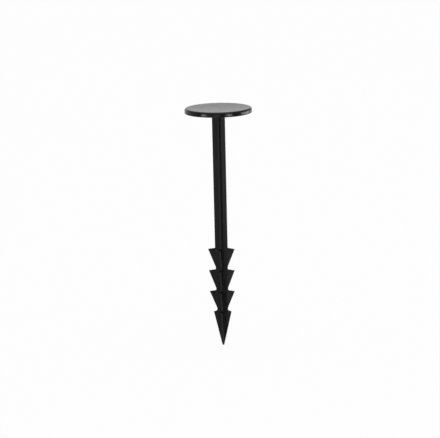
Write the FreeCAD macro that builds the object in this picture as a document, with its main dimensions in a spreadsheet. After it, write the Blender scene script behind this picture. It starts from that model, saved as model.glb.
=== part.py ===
import FreeCAD, Part
import math
import os
import Sketcher

os.makedirs("parts", exist_ok=True)

# A barbed ground spike, moulded in one piece: a round head on a cross-shaped shank whose four
# ribs carry backward-facing barbs and run down into a four-sided arrow point.
# The frame's origin is on the shank's axis at the head's seat, +Z up through the head.

SIZES = {
    "overall_length": 150.0,
    "head_diameter": 41.8,
    "head_thickness": 3.15,
    "dish_depth": 0.5,
    "dish_border": 1.6,
    "rim_top_round": 1.2,
    "rim_bottom_round": 0.5,
    "root_round": 0.6,
    "rib_middle_thickness": 1.7,
    "rib_draft_angle": 2.5,
    "web_round": 0.8,
    "shank_top_span": 8.05,
    "shank_low_span": 7.85,
    "neck_span": 7.45,
    "last_neck_span": 6.7,
    "neck_length": 1.6,
    "barb_span": 16.6,
    "barb_span_step": 0.5,
    "barb_pitch": 12.95,
    "barb_pitch_step": 0.3,
    "barb_droop_angle": 8.5,
    "barb_root_round": 0.5,
    "arrow_length": 21.3,
    "arrow_span": 11.0,
    "arrow_droop_angle": 21.0,
    "tip_width": 0.9,
}
BARBS = 3
RIBS = 4

BLADE_LENGTH = "(Sizes.overall_length - Sizes.head_thickness)"
BARB_DROOP = "tan(Sizes.barb_droop_angle * 1 deg)"
ARROW_DROOP = "tan(Sizes.arrow_droop_angle * 1 deg)"
DRAFT = "tan(Sizes.rib_draft_angle * 1 deg)"

doc = FreeCAD.newDocument("GroundSpike")

sheet = doc.addObject("Spreadsheet::Sheet", "Sizes")
for row, (alias, size) in enumerate(SIZES.items(), start=1):
    sheet.set(f"A{row}", alias)
    sheet.set(f"B{row}", str(size))
    sheet.setAlias(f"B{row}", alias)
doc.recompute()

spike = doc.addObject("PartDesign::Body", "GroundSpike_Body")
spike.Label = "ground_spike"
doc.recompute()


def origin_feature(role):
    return next(feature for feature in spike.Origin.OriginFeatures if feature.Role == role)


def new_sketch(name, plane_role):
    sketch = spike.newObject("Sketcher::SketchObject", name)
    sketch.AttachmentSupport = [(origin_feature(plane_role), "")]
    sketch.MapMode = "FlatFace"
    doc.recompute()
    return sketch


def start_value(sketch, rule):
    return 0.0 if rule is None else float(sketch.evalExpression(rule))


def pin(sketch, line, end, name, across, up):
    """Holds one end of a line by two rules in terms of the sheet; None holds it on the axis."""
    for letter, rule, axis in (("X", across, -2), ("Y", up, -1)):
        if rule is None:
            sketch.addConstraint(Sketcher.Constraint("PointOnObject", line, end, axis))
            continue
        value = start_value(sketch, rule)
        ends = (-1, 1, line, end) if value > 0 else (line, end, -1, 1)
        distance = Sketcher.Constraint(f"Distance{letter}", *ends, abs(value))
        sketch.renameConstraint(sketch.addConstraint(distance), f"{name}_{letter}")
        sketch.setExpression(f"Constraints.{name}_{letter}", rule if value > 0 else f"-({rule})")


def straight_outline(sketch, corners, closed=True):
    """Joins named corners by straight lines, pins each by its rules and returns the lines."""
    spots = [
        FreeCAD.Vector(start_value(sketch, across), start_value(sketch, up), 0)
        for across, up in corners.values()
    ]
    ends = spots[1:] + spots[:1] if closed else spots[1:]
    lines = [
        sketch.addGeometry(Part.LineSegment(here, after), False)
        for here, after in zip(spots, ends)
    ]
    joins = zip(lines, lines[1:] + lines[:1]) if closed else zip(lines, lines[1:])
    for here, after in joins:
        sketch.addConstraint(Sketcher.Constraint("Coincident", here, 2, after, 1))
    for line, (name, rules) in zip(lines, corners.items()):
        pin(sketch, line, 1, name, *rules)
    if not closed:
        last = list(corners)[-1]
        pin(sketch, lines[-1], 2, last, *corners[last])
    doc.recompute()
    return lines


def pattern_round_axis(name, feature, count, angle):
    pattern = spike.newObject("PartDesign::PolarPattern", name)
    pattern.Originals = [feature]
    pattern.Axis = (origin_feature("Z_Axis"), [""])
    pattern.Angle = angle
    pattern.Occurrences = count
    spike.Tip = pattern
    doc.recompute()
    return pattern


def round_edges(name, base, alias, wanted):
    edges = [
        f"Edge{number}"
        for number, edge in enumerate(base.Shape.Edges, start=1)
        if wanted(edge)
    ]
    fillet = spike.newObject("PartDesign::Fillet", name)
    fillet.Base = (base, edges)
    fillet.setExpression("Radius", f"Sizes.{alias}")
    spike.Tip = fillet
    doc.recompute()
    return fillet


def near(a, b):
    return abs(a - b) < 0.001


def reaches(edge):
    """How far from the axis each end of an edge lies."""
    return [math.hypot(vertex.X, vertex.Y) for vertex in edge.Vertexes]


def level_at(edge, height):
    return all(near(vertex.Z, height) for vertex in edge.Vertexes)


# One pair of ribs, thickest on the shank's axis and drafted towards both edges
rib_reach = "(Sizes.barb_span / 2 + Sizes.rib_middle_thickness)"
rib_middle = "Sizes.rib_middle_thickness / 2"
rib_edge = f"({rib_middle} - {rib_reach} * {DRAFT})"

rib_section = new_sketch("RibSection", "XY_Plane")
straight_outline(rib_section, {
    "right_front": (rib_reach, f"-{rib_edge}"),
    "right_back": (rib_reach, rib_edge),
    "middle_back": (None, rib_middle),
    "left_back": (f"-{rib_reach}", rib_edge),
    "left_front": (f"-{rib_reach}", f"-{rib_edge}"),
    "middle_front": (None, f"-{rib_middle}"),
})
rib_pair = spike.newObject("PartDesign::Pad", "RibPair")
rib_pair.Profile = rib_section
rib_pair.Reversed = True
rib_pair.setExpression("Length", BLADE_LENGTH)
doc.recompute()
crossed_ribs = pattern_round_axis("CrossedRibs", rib_pair, 2, 90)


def in_web_corner(edge):
    """An inner corner of the cross, where two ribs meet."""
    ends = [vertex.Point for vertex in edge.Vertexes]
    upright = len(ends) == 2 and near(ends[0].x, ends[1].x) and near(ends[0].y, ends[1].y)
    corner_reach = sheet.rib_middle_thickness
    return upright and math.hypot(ends[0].x, ends[0].y) < corner_reach


web_rounds = round_edges("WebRounds", crossed_ribs, "web_round", in_web_corner)


def barb_corner_height(place):
    """The height above the tip of barb number place, counted upwards; the arrow's shoulder is 0."""
    growth = place * (place - 1) / 2
    return f"(Sizes.arrow_length + {place} * Sizes.barb_pitch + {growth} * Sizes.barb_pitch_step)"


def barb_root_height(place, half_span, neck_half):
    droop = ARROW_DROOP if place == 0 else BARB_DROOP
    return f"({barb_corner_height(place)} + ({half_span} - {neck_half}) * {droop})"


def barbed_edge():
    """The corners of one rib's edge, from the seat down to the tip."""
    corners = {"seat": ("Sizes.shank_top_span / 2", None)}
    neck_half = "Sizes.shank_low_span / 2"
    for place in range(BARBS, -1, -1):
        half_span = f"(Sizes.barb_span - {BARBS - place} * Sizes.barb_span_step) / 2"
        if place == 0:
            half_span = "Sizes.arrow_span / 2"
        root = barb_root_height(place, half_span, neck_half)
        if place < BARBS:
            neck_top = f"{root} + Sizes.neck_length - {BLADE_LENGTH}"
            corners[f"neck{place}"] = (neck_half, neck_top)
        corners[f"root{place}"] = (neck_half, f"{root} - {BLADE_LENGTH}")
        corners[f"barb{place}"] = (half_span, f"{barb_corner_height(place)} - {BLADE_LENGTH}")
        neck_half = "Sizes.last_neck_span / 2" if place == 1 else "Sizes.neck_span / 2"
    corners["tip"] = ("Sizes.tip_width / 2", f"-{BLADE_LENGTH}")
    return corners


# What is cut away outside one rib's barbed edge, cut again outside each of the others
clear_of_ribs = "Sizes.barb_span"
edge_corners = barbed_edge()
barb_profile = new_sketch("BarbProfile", "XZ_Plane")
straight_outline(barb_profile, {
    **edge_corners,
    "under_tip": (clear_of_ribs, f"-{BLADE_LENGTH}"),
    "beside_seat": (clear_of_ribs, None),
})
barb_cut = spike.newObject("PartDesign::Pocket", "BarbCut")
barb_cut.Profile = barb_profile
barb_cut.Type = "ThroughAll"
barb_cut.SideType = "Symmetric"
doc.recompute()
barbed_blade = pattern_round_axis("BarbedBlade", barb_cut, RIBS, 360)
root_heights = [
    start_value(barb_profile, height)
    for name, (_, height) in edge_corners.items()
    if name.startswith("root")
]


def in_barb_root(edge):
    """The inner edge across a rib, where it meets the top of a barb or of the arrow."""
    return any(level_at(edge, height) for height in root_heights)


barb_roots = round_edges("BarbRootRounds", barbed_blade, "barb_root_round", in_barb_root)

# The head: a flat seat below, an upright rim and a shallow dish inside a narrow flat border
dish_bottom = "Sizes.head_thickness - Sizes.dish_depth"
dish_reach = "(Sizes.head_diameter / 2 - Sizes.dish_border)"
head_profile = new_sketch("HeadProfile", "XZ_Plane")
head_lines = straight_outline(head_profile, {
    "dish_middle": (None, dish_bottom),
    "seat_middle": (None, None),
    "rim_under": ("Sizes.head_diameter / 2", None),
    "rim_top": ("Sizes.head_diameter / 2", "Sizes.head_thickness"),
    "dish_edge": (dish_reach, "Sizes.head_thickness"),
}, closed=False)


def dish_arc():
    """The dish's arc, its centre on the axis, from its lowest point out to its edge."""
    depth = sheet.dish_depth
    half_width = sheet.head_diameter / 2 - sheet.dish_border
    radius = (half_width ** 2 + depth ** 2) / (2 * depth)
    centre = FreeCAD.Vector(0, sheet.head_thickness - depth + radius, 0)
    down = -math.pi / 2
    return Part.ArcOfCircle(
        Part.Circle(centre, FreeCAD.Vector(0, 0, 1), radius),
        down,
        down + math.asin(half_width / radius),
    )


dish = head_profile.addGeometry(dish_arc(), False)
head_profile.addConstraint(Sketcher.Constraint("Coincident", dish, 1, head_lines[0], 1))
head_profile.addConstraint(Sketcher.Constraint("Coincident", dish, 2, head_lines[-1], 2))
head_profile.addConstraint(Sketcher.Constraint("PointOnObject", dish, 3, -2))
head = spike.newObject("PartDesign::Revolution", "Head")
head.Profile = head_profile
head.ReferenceAxis = (head_profile, ["V_Axis"])
head.Angle = 360
spike.Tip = head
doc.recompute()


def on_rim_at(height):
    half_width = sheet.head_diameter / 2
    return lambda edge: level_at(edge, height) and all(near(r, half_width) for r in reaches(edge))


def in_shank_root(edge):
    """An edge where the shank meets the head's seat."""
    return level_at(edge, 0) and all(0 < reach < sheet.shank_top_span for reach in reaches(edge))


rim_top = round_edges("RimTopRound", head, "rim_top_round", on_rim_at(sheet.head_thickness))
rim_under = round_edges("RimUnderRound", rim_top, "rim_bottom_round", on_rim_at(0))
root_round = round_edges("RootRound", rim_under, "root_round", in_shank_root)

failed = [thing.Name for thing in doc.Objects if {"Invalid", "Error"} & set(thing.State)]
if failed:
    raise RuntimeError(f"these features failed: {failed}")
if spike.Shape.isNull() or not spike.Shape.isValid() or len(spike.Shape.Solids) != 1:
    raise RuntimeError("the spike isn't one valid solid")
spike.Shape.exportStep(f"parts/{spike.Label}.step")
print(f"{spike.Label}: {spike.Shape.Volume:.1f} mm3, box {spike.Shape.BoundBox}")
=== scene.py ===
import math
import bpy
from mathutils import Matrix, Vector


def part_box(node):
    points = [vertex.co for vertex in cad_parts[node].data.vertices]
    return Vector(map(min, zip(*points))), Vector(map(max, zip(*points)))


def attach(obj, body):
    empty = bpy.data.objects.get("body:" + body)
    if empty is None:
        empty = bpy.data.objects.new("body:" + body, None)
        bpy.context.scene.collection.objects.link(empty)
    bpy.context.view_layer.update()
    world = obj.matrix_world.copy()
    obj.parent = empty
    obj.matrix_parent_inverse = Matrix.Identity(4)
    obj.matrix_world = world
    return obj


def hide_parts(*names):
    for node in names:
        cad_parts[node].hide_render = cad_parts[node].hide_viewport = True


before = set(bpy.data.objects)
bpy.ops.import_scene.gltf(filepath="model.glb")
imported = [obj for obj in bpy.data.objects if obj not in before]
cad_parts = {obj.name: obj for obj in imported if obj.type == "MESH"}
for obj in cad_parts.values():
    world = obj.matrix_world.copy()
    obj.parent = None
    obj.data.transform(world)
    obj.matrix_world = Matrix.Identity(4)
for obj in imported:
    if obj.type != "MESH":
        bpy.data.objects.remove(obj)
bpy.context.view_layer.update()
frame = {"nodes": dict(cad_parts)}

print("frame loaded:", ", ".join(frame["nodes"]))

lowest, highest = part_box("ground_spike")


def deselectAll():
    if bpy.context.object and bpy.context.object.mode != "OBJECT":
        bpy.ops.object.mode_set(mode="OBJECT")
    bpy.ops.object.select_all(action="DESELECT")


def pickOnly(obj):
    deselectAll()
    obj.select_set(True)
    bpy.context.view_layer.objects.active = obj


# the moulded spike: the CAD node's own form, with the small edge rounds that a mould leaves
spike = {
    "mergeGap": 0.000002,
    "flatAngle": math.radians(0.4),
    "edgeRound": 0.00016,
    "edgeSteps": 3,
    "edgeAngle": math.radians(32),
    "smoothAngle": math.radians(38),
}


def makeSpike():
    node = frame["nodes"]["ground_spike"]
    piece = bpy.data.objects.new("moulded_spike", node.data.copy())
    bpy.context.scene.collection.objects.link(piece)
    piece.data.materials.clear()
    pickOnly(piece)
    bpy.ops.object.mode_set(mode="EDIT")
    bpy.ops.mesh.select_all(action="SELECT")
    bpy.ops.mesh.remove_doubles(threshold=spike["mergeGap"])
    bpy.ops.mesh.dissolve_limited(angle_limit=spike["flatAngle"])
    bpy.ops.object.mode_set(mode="OBJECT")
    rounding = piece.modifiers.new("edge rounds", "BEVEL")
    rounding.width = spike["edgeRound"]
    rounding.segments = spike["edgeSteps"]
    rounding.limit_method = "ANGLE"
    rounding.angle_limit = spike["edgeAngle"]
    rounding.use_clamp_overlap = True
    bpy.ops.object.modifier_apply(modifier=rounding.name)
    bpy.ops.object.shade_smooth_by_angle(angle=spike["smoothAngle"])
    return piece


# the head's rim shades as the turned form that it is, with none of the mesh's unevenness
rim = {
    "topRound": 0.0012,
    "bottomRound": 0.0005,
    "slack": 0.00001,
}


# the turned rim's normal at a point on it; None away from the rim
def rimNormal(at):
    radius, top = highest.x, highest.z
    outward = Vector((at.x, at.y, 0))
    across = outward.length
    outward.normalize()
    for size, middle, side in (
            (rim["topRound"], top - rim["topRound"], 1),
            (rim["bottomRound"], rim["bottomRound"], -1)):
        if across > radius - size - rim["slack"] and (at.z - middle) * side > 0:
            rising = Vector((0, 0, at.z - middle))
            return (outward * (across - radius + size) + rising).normalized()
    if across > radius - rim["slack"]:
        return outward
    return None


def smoothRim(piece):
    mesh = piece.data
    normals = [corner.vector.copy() for corner in mesh.corner_normals]
    for corner, loop in enumerate(mesh.loops):
        turned = rimNormal(mesh.vertices[loop.vertex_index].co)
        if turned:
            normals[corner] = turned
    mesh.normals_split_custom_set(normals)


mouldedSpike = makeSpike()
smoothRim(mouldedSpike)
print("spike modelled:", len(mouldedSpike.data.polygons), "faces")


# node helpers, for the plastic and the studio. A value is a number, a colour or a socket.
def feed(links, socket, value):
    if isinstance(value, bpy.types.NodeSocket):
        links.new(value, socket)
    else:
        socket.default_value = value


def addMath(nodes, links, operation, *values):
    step = nodes.new("ShaderNodeMath")
    step.operation = operation
    for socket, value in zip(step.inputs, values):
        feed(links, socket, value)
    return step.outputs[0]


def addRange(nodes, links, value, start, end, low=0, high=1):
    ramp = nodes.new("ShaderNodeMapRange")
    names = ("Value", "From Min", "From Max", "To Min", "To Max")
    for name, given in zip(names, (value, start, end, low, high)):
        feed(links, ramp.inputs[name], given)
    return ramp.outputs["Result"]


def addBlend(nodes, links, share, first, second, kind="FLOAT"):
    blend = nodes.new("ShaderNodeMix")
    blend.data_type = kind
    for name, value in (("Factor", share), ("A", first), ("B", second)):
        feed(links, blend.inputs[name], value)
    return blend.outputs["Result"]


# a noise over the spike's own coordinates; along under 1 draws it out down the shank
def addNoise(nodes, links, place, scale, along=1.0, detail=2.0):
    stretch = nodes.new("ShaderNodeMapping")
    stretch.inputs["Scale"].default_value = (1, 1, along)
    noise = nodes.new("ShaderNodeTexNoise")
    noise.inputs["Scale"].default_value = scale
    noise.inputs["Detail"].default_value = detail
    links.new(place, stretch.inputs["Vector"])
    links.new(stretch.outputs["Vector"], noise.inputs["Vector"])
    return noise.outputs["Fac"]


def addBump(nodes, links, height, depth, before=None):
    bump = nodes.new("ShaderNodeBump")
    bump.inputs["Distance"].default_value = depth
    links.new(height, bump.inputs["Height"])
    if before:
        links.new(before, bump.inputs["Normal"])
    return bump.outputs["Normal"]


# black moulded polypropylene, textured in the spike's own metres. A range says between which
# values of its noise the effect comes in.
plastic = {
    "colour": (0.0034, 0.0034, 0.0036, 1.0),
    "paleColour": (0.0062, 0.0062, 0.0065, 1.0),
    "smoothest": 0.15,
    "roughest": 0.22,
    "ior": 1.47,
    # paler and rougher patches, about 4 mm across
    "clouds": {"scale": 260, "detail": 4},
    "paleRange": (0.35, 0.75),
    "roughRange": (0.3, 0.7),
    # slow waves in the skin, drawn out along the shank
    "flow": {"scale": 190, "along": 0.22, "detail": 1},
    "flowDepth": 0.000011,
    # fine rubs from handling, drawn out along the shank
    "scuffs": {"scale": 900, "along": 0.06, "detail": 3},
    "scuffRange": (0.58, 0.70),
    "scuffRougher": 0.06,
    "scuffDepth": 0.0000003,
    # the mould's fine spark-eroded grain
    "grain": {"scale": 6500},
    "grainDepth": 0.0000006,
    # the line where the two mould halves met, which fades out just above the head's seat
    "partingWidth": 0.00007,
    "partingFade": 0.0002,
    "partingDepth": 0.00003,
}


# 1 on the mould's parting plane, y = 0, and 0 a little beside it
def addPartingLine(nodes, links, place):
    apart = nodes.new("ShaderNodeSeparateXYZ")
    links.new(place, apart.inputs[0])
    beside = addMath(nodes, links, "ABSOLUTE", apart.outputs["Y"])
    line = addRange(nodes, links, beside, 0, plastic["partingWidth"], 1, 0)
    below = addRange(nodes, links, apart.outputs["Z"], 0, plastic["partingFade"], 1, 0)
    return addMath(nodes, links, "MULTIPLY", line, below)


def makePlastic():
    material = bpy.data.materials.new("black_polypropylene")
    material.use_nodes = True
    nodes = material.node_tree.nodes
    links = material.node_tree.links
    shader = nodes["Principled BSDF"]
    shader.inputs["IOR"].default_value = plastic["ior"]
    place = nodes.new("ShaderNodeTexCoord").outputs["Object"]

    clouds = addNoise(nodes, links, place, **plastic["clouds"])
    scuffs = addNoise(nodes, links, place, **plastic["scuffs"])
    rubbed = addRange(nodes, links, scuffs, *plastic["scuffRange"])

    pale = addRange(nodes, links, clouds, *plastic["paleRange"])
    colour = addBlend(nodes, links, pale, plastic["colour"], plastic["paleColour"], "RGBA")
    links.new(colour, shader.inputs["Base Color"])

    patchy = addRange(
        nodes, links, clouds, *plastic["roughRange"], plastic["smoothest"], plastic["roughest"])
    rough = addMath(nodes, links, "MULTIPLY_ADD", rubbed, plastic["scuffRougher"], patchy)
    links.new(rough, shader.inputs["Roughness"])

    flow = addNoise(nodes, links, place, **plastic["flow"])
    skin = addBump(nodes, links, flow, plastic["flowDepth"])
    skin = addBump(nodes, links, rubbed, plastic["scuffDepth"], skin)
    parting = addPartingLine(nodes, links, place)
    skin = addBump(nodes, links, parting, plastic["partingDepth"], skin)
    grain = addNoise(nodes, links, place, **plastic["grain"])
    skin = addBump(nodes, links, grain, plastic["grainDepth"], skin)
    links.new(skin, shader.inputs["Normal"])
    return material


mouldedSpike.data.materials.append(makePlastic())
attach(mouldedSpike, "root")
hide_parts("ground_spike")
print("plastic ready")


# the studio: a white room, with a ring of light and shade round the spike for its gloss.
# The rings are in degrees to the right of the spike's front, each with how bright it looks.
# The bands are heights over which one level gives way to the next: 0 level, 1 straight up.
studio = {
    "floorSize": 6.0,
    "floorColour": (0.86, 0.86, 0.86, 1.0),
    "floorWhite": 0.95,             # how much of the floor is plain white where it is seen
    "backdrop": 1.0,                # what the camera sees
    "skyLevel": 0.8,                # what lights the object
    "glossAbove": 0.3,              # what the gloss sees above the head
    "glossOverhead": 0.9,           # and straight over it
    "levelBand": (-0.04, 0.01),
    "aboveBand": (0.28, 0.42),
    "overheadBand": (0.70, 0.98),
    "ringStart": -90,
    "ringBelow": (
        (-90, 0.40), (-65, 0.20), (-48, 0.16), (-34, 0.24), (-23, 0.38), (-9, 0.42),
        (-4, 0.62), (8, 0.70), (13, 0.30), (20, 0.05), (50, 0.05), (65, 0.12), (88, 0.30),
        (118, 0.50), (158, 1.00), (202, 0.90), (242, 0.60), (270, 0.40)),
    "ringLevel": (
        (-90, 0.43), (-65, 0.21), (-48, 0.09), (-34, 0.05), (-23, 0.05), (-13, 0.13),
        (-4, 0.29), (5, 0.43), (13, 0.30), (23, 0.10), (48, 0.05), (88, 0.06), (118, 0.10),
        (150, 0.20), (170, 0.78), (202, 0.83), (242, 0.72), (270, 0.43)),
}


def mixShaders(nodes, links, share, first, second):
    mix = nodes.new("ShaderNodeMixShader")
    for socket, value in zip(mix.inputs, (share, first, second)):
        links.new(value, socket)
    return mix.outputs[0]


# plain white where the camera sees it, and not there at all for the spike's gloss
def makeFloor():
    deselectAll()
    bpy.ops.mesh.primitive_plane_add(size=studio["floorSize"], location=(0, 0, lowest.z))
    floor = bpy.context.object
    floor.name = "floor"
    material = bpy.data.materials.new("pale_floor")
    material.use_nodes = True
    nodes = material.node_tree.nodes
    links = material.node_tree.links
    shader = nodes["Principled BSDF"]
    shader.inputs["Base Color"].default_value = studio["floorColour"]
    shader.inputs["Roughness"].default_value = 1.0
    shader.inputs["Specular IOR Level"].default_value = 0.0
    path = nodes.new("ShaderNodeLightPath").outputs
    white = nodes.new("ShaderNodeEmission").outputs[0]
    clear = nodes.new("ShaderNodeBsdfTransparent").outputs[0]
    seen = addMath(nodes, links, "MULTIPLY", path["Is Camera Ray"], studio["floorWhite"])
    look = mixShaders(nodes, links, seen, shader.outputs[0], white)
    look = mixShaders(nodes, links, path["Is Glossy Ray"], look, clear)
    links.new(look, nodes["Material Output"].inputs["Surface"])
    floor.data.materials.append(material)


def addRing(nodes, links, around, levels):
    ring = nodes.new("ShaderNodeValToRGB")
    stops = ring.color_ramp.elements
    while len(stops) < len(levels):
        stops.new(0.5)
    for stop, (degrees, level) in zip(stops, levels):
        stop.position = (degrees - studio["ringStart"]) / 360
        stop.color = (level, level, level, 1)
    links.new(around, ring.inputs["Fac"])
    return ring.outputs["Color"]


def makeSky():
    world = bpy.data.worlds.new("studio_white")
    bpy.context.scene.world = world
    world.use_nodes = True
    nodes = world.node_tree.nodes
    links = world.node_tree.links
    background = nodes["Background"]
    background.inputs["Color"].default_value = (1, 1, 1, 1)
    path = nodes.new("ShaderNodeLightPath").outputs
    direction = nodes.new("ShaderNodeTexCoord").outputs["Generated"]
    around = nodes.new("ShaderNodeTexGradient")
    around.gradient_type = "RADIAL"
    apart = nodes.new("ShaderNodeSeparateXYZ")
    links.new(direction, around.inputs["Vector"])
    links.new(direction, apart.inputs[0])
    height = apart.outputs["Z"]

    glossy = addRing(nodes, links, around.outputs["Fac"], studio["ringBelow"])
    level = addRing(nodes, links, around.outputs["Fac"], studio["ringLevel"])
    for band, look in (
            ("levelBand", level),
            ("aboveBand", studio["glossAbove"]),
            ("overheadBand", studio["glossOverhead"])):
        risen = addRange(nodes, links, height, *studio[band])
        glossy = addBlend(nodes, links, risen, glossy, look)
    seen = addBlend(nodes, links, path["Is Glossy Ray"], studio["skyLevel"], glossy)
    seen = addBlend(nodes, links, path["Is Camera Ray"], seen, studio["backdrop"])
    links.new(seen, background.inputs["Strength"])


makeFloor()
makeSky()
print("studio ready")


# the way from the spike to a place round it
def wayTo(turn, rise):
    return Vector((
        math.cos(rise) * math.sin(turn),
        -math.cos(rise) * math.cos(turn),
        math.sin(rise)))


def facingFrom(way):
    return way.to_track_quat("Z", "Y").to_matrix().to_4x4()


# the camera: a little above the head's face, looking at the front rib from just beside it
camera = {
    "turn": math.radians(8.8),      # round the spike, so that its right-hand side shows
    "rise": math.radians(10.74),
    "distance": 2.0,
    "roll": math.radians(-1.3),
    "sensorMillimetres": 36,
    "framePixels": 440,
    "millimetresPerPixel": 0.6210,
    "aimHeight": -0.06682,
    "aimAside": -0.00045,
}


def makeCamera():
    toCamera = wayTo(camera["turn"], camera["rise"])
    data = bpy.data.cameras.new("camera")
    data.sensor_width = camera["sensorMillimetres"]
    frameWidth = camera["framePixels"] * camera["millimetresPerPixel"] / 1000
    data.lens = data.sensor_width * camera["distance"] / frameWidth
    eye = bpy.data.objects.new("camera", data)
    bpy.context.scene.collection.objects.link(eye)
    looking = facingFrom(toCamera)
    rolled = looking @ Matrix.Rotation(camera["roll"], 4, "Z")
    aim = Vector((0, 0, camera["aimHeight"])) + looking @ Vector((camera["aimAside"], 0, 0))
    eye.matrix_world = Matrix.Translation(aim + toCamera * camera["distance"]) @ rolled
    bpy.context.scene.camera = eye


# three soft boxes round the spike, a little below its head, which streak the head's rim.
# Each has its turn to the right of the camera, its width, and how bright it looks beside the
# white backdrop.
softBoxes = {
    "above": math.radians(-5),
    "distance": 0.9,
    "height": 0.13,
    "each": {
        "left_box": {"aside": math.radians(-50), "width": 0.24, "brightness": 6.0},
        "right_box": {"aside": math.radians(37), "width": 0.29, "brightness": 6.0},
        "side_box": {"aside": math.radians(106), "width": 0.68, "brightness": 5.0},
    },
}


def makeSoftBox(name, aside, width, brightness):
    lamp = bpy.data.lights.new(name, "AREA")
    lamp.shape = "RECTANGLE"
    lamp.size = width
    lamp.size_y = softBoxes["height"]
    lamp.energy = brightness * math.pi * width * softBoxes["height"]
    away = wayTo(camera["turn"] + aside, softBoxes["above"])
    holder = bpy.data.objects.new(name, lamp)
    bpy.context.scene.collection.objects.link(holder)
    standing = Matrix.Translation(away * softBoxes["distance"])
    holder.matrix_world = standing @ facingFrom(away)


makeCamera()
for name, values in softBoxes["each"].items():
    makeSoftBox(name, **values)
bpy.context.scene.view_settings.view_transform = "Standard"
print("camera and soft boxes ready")
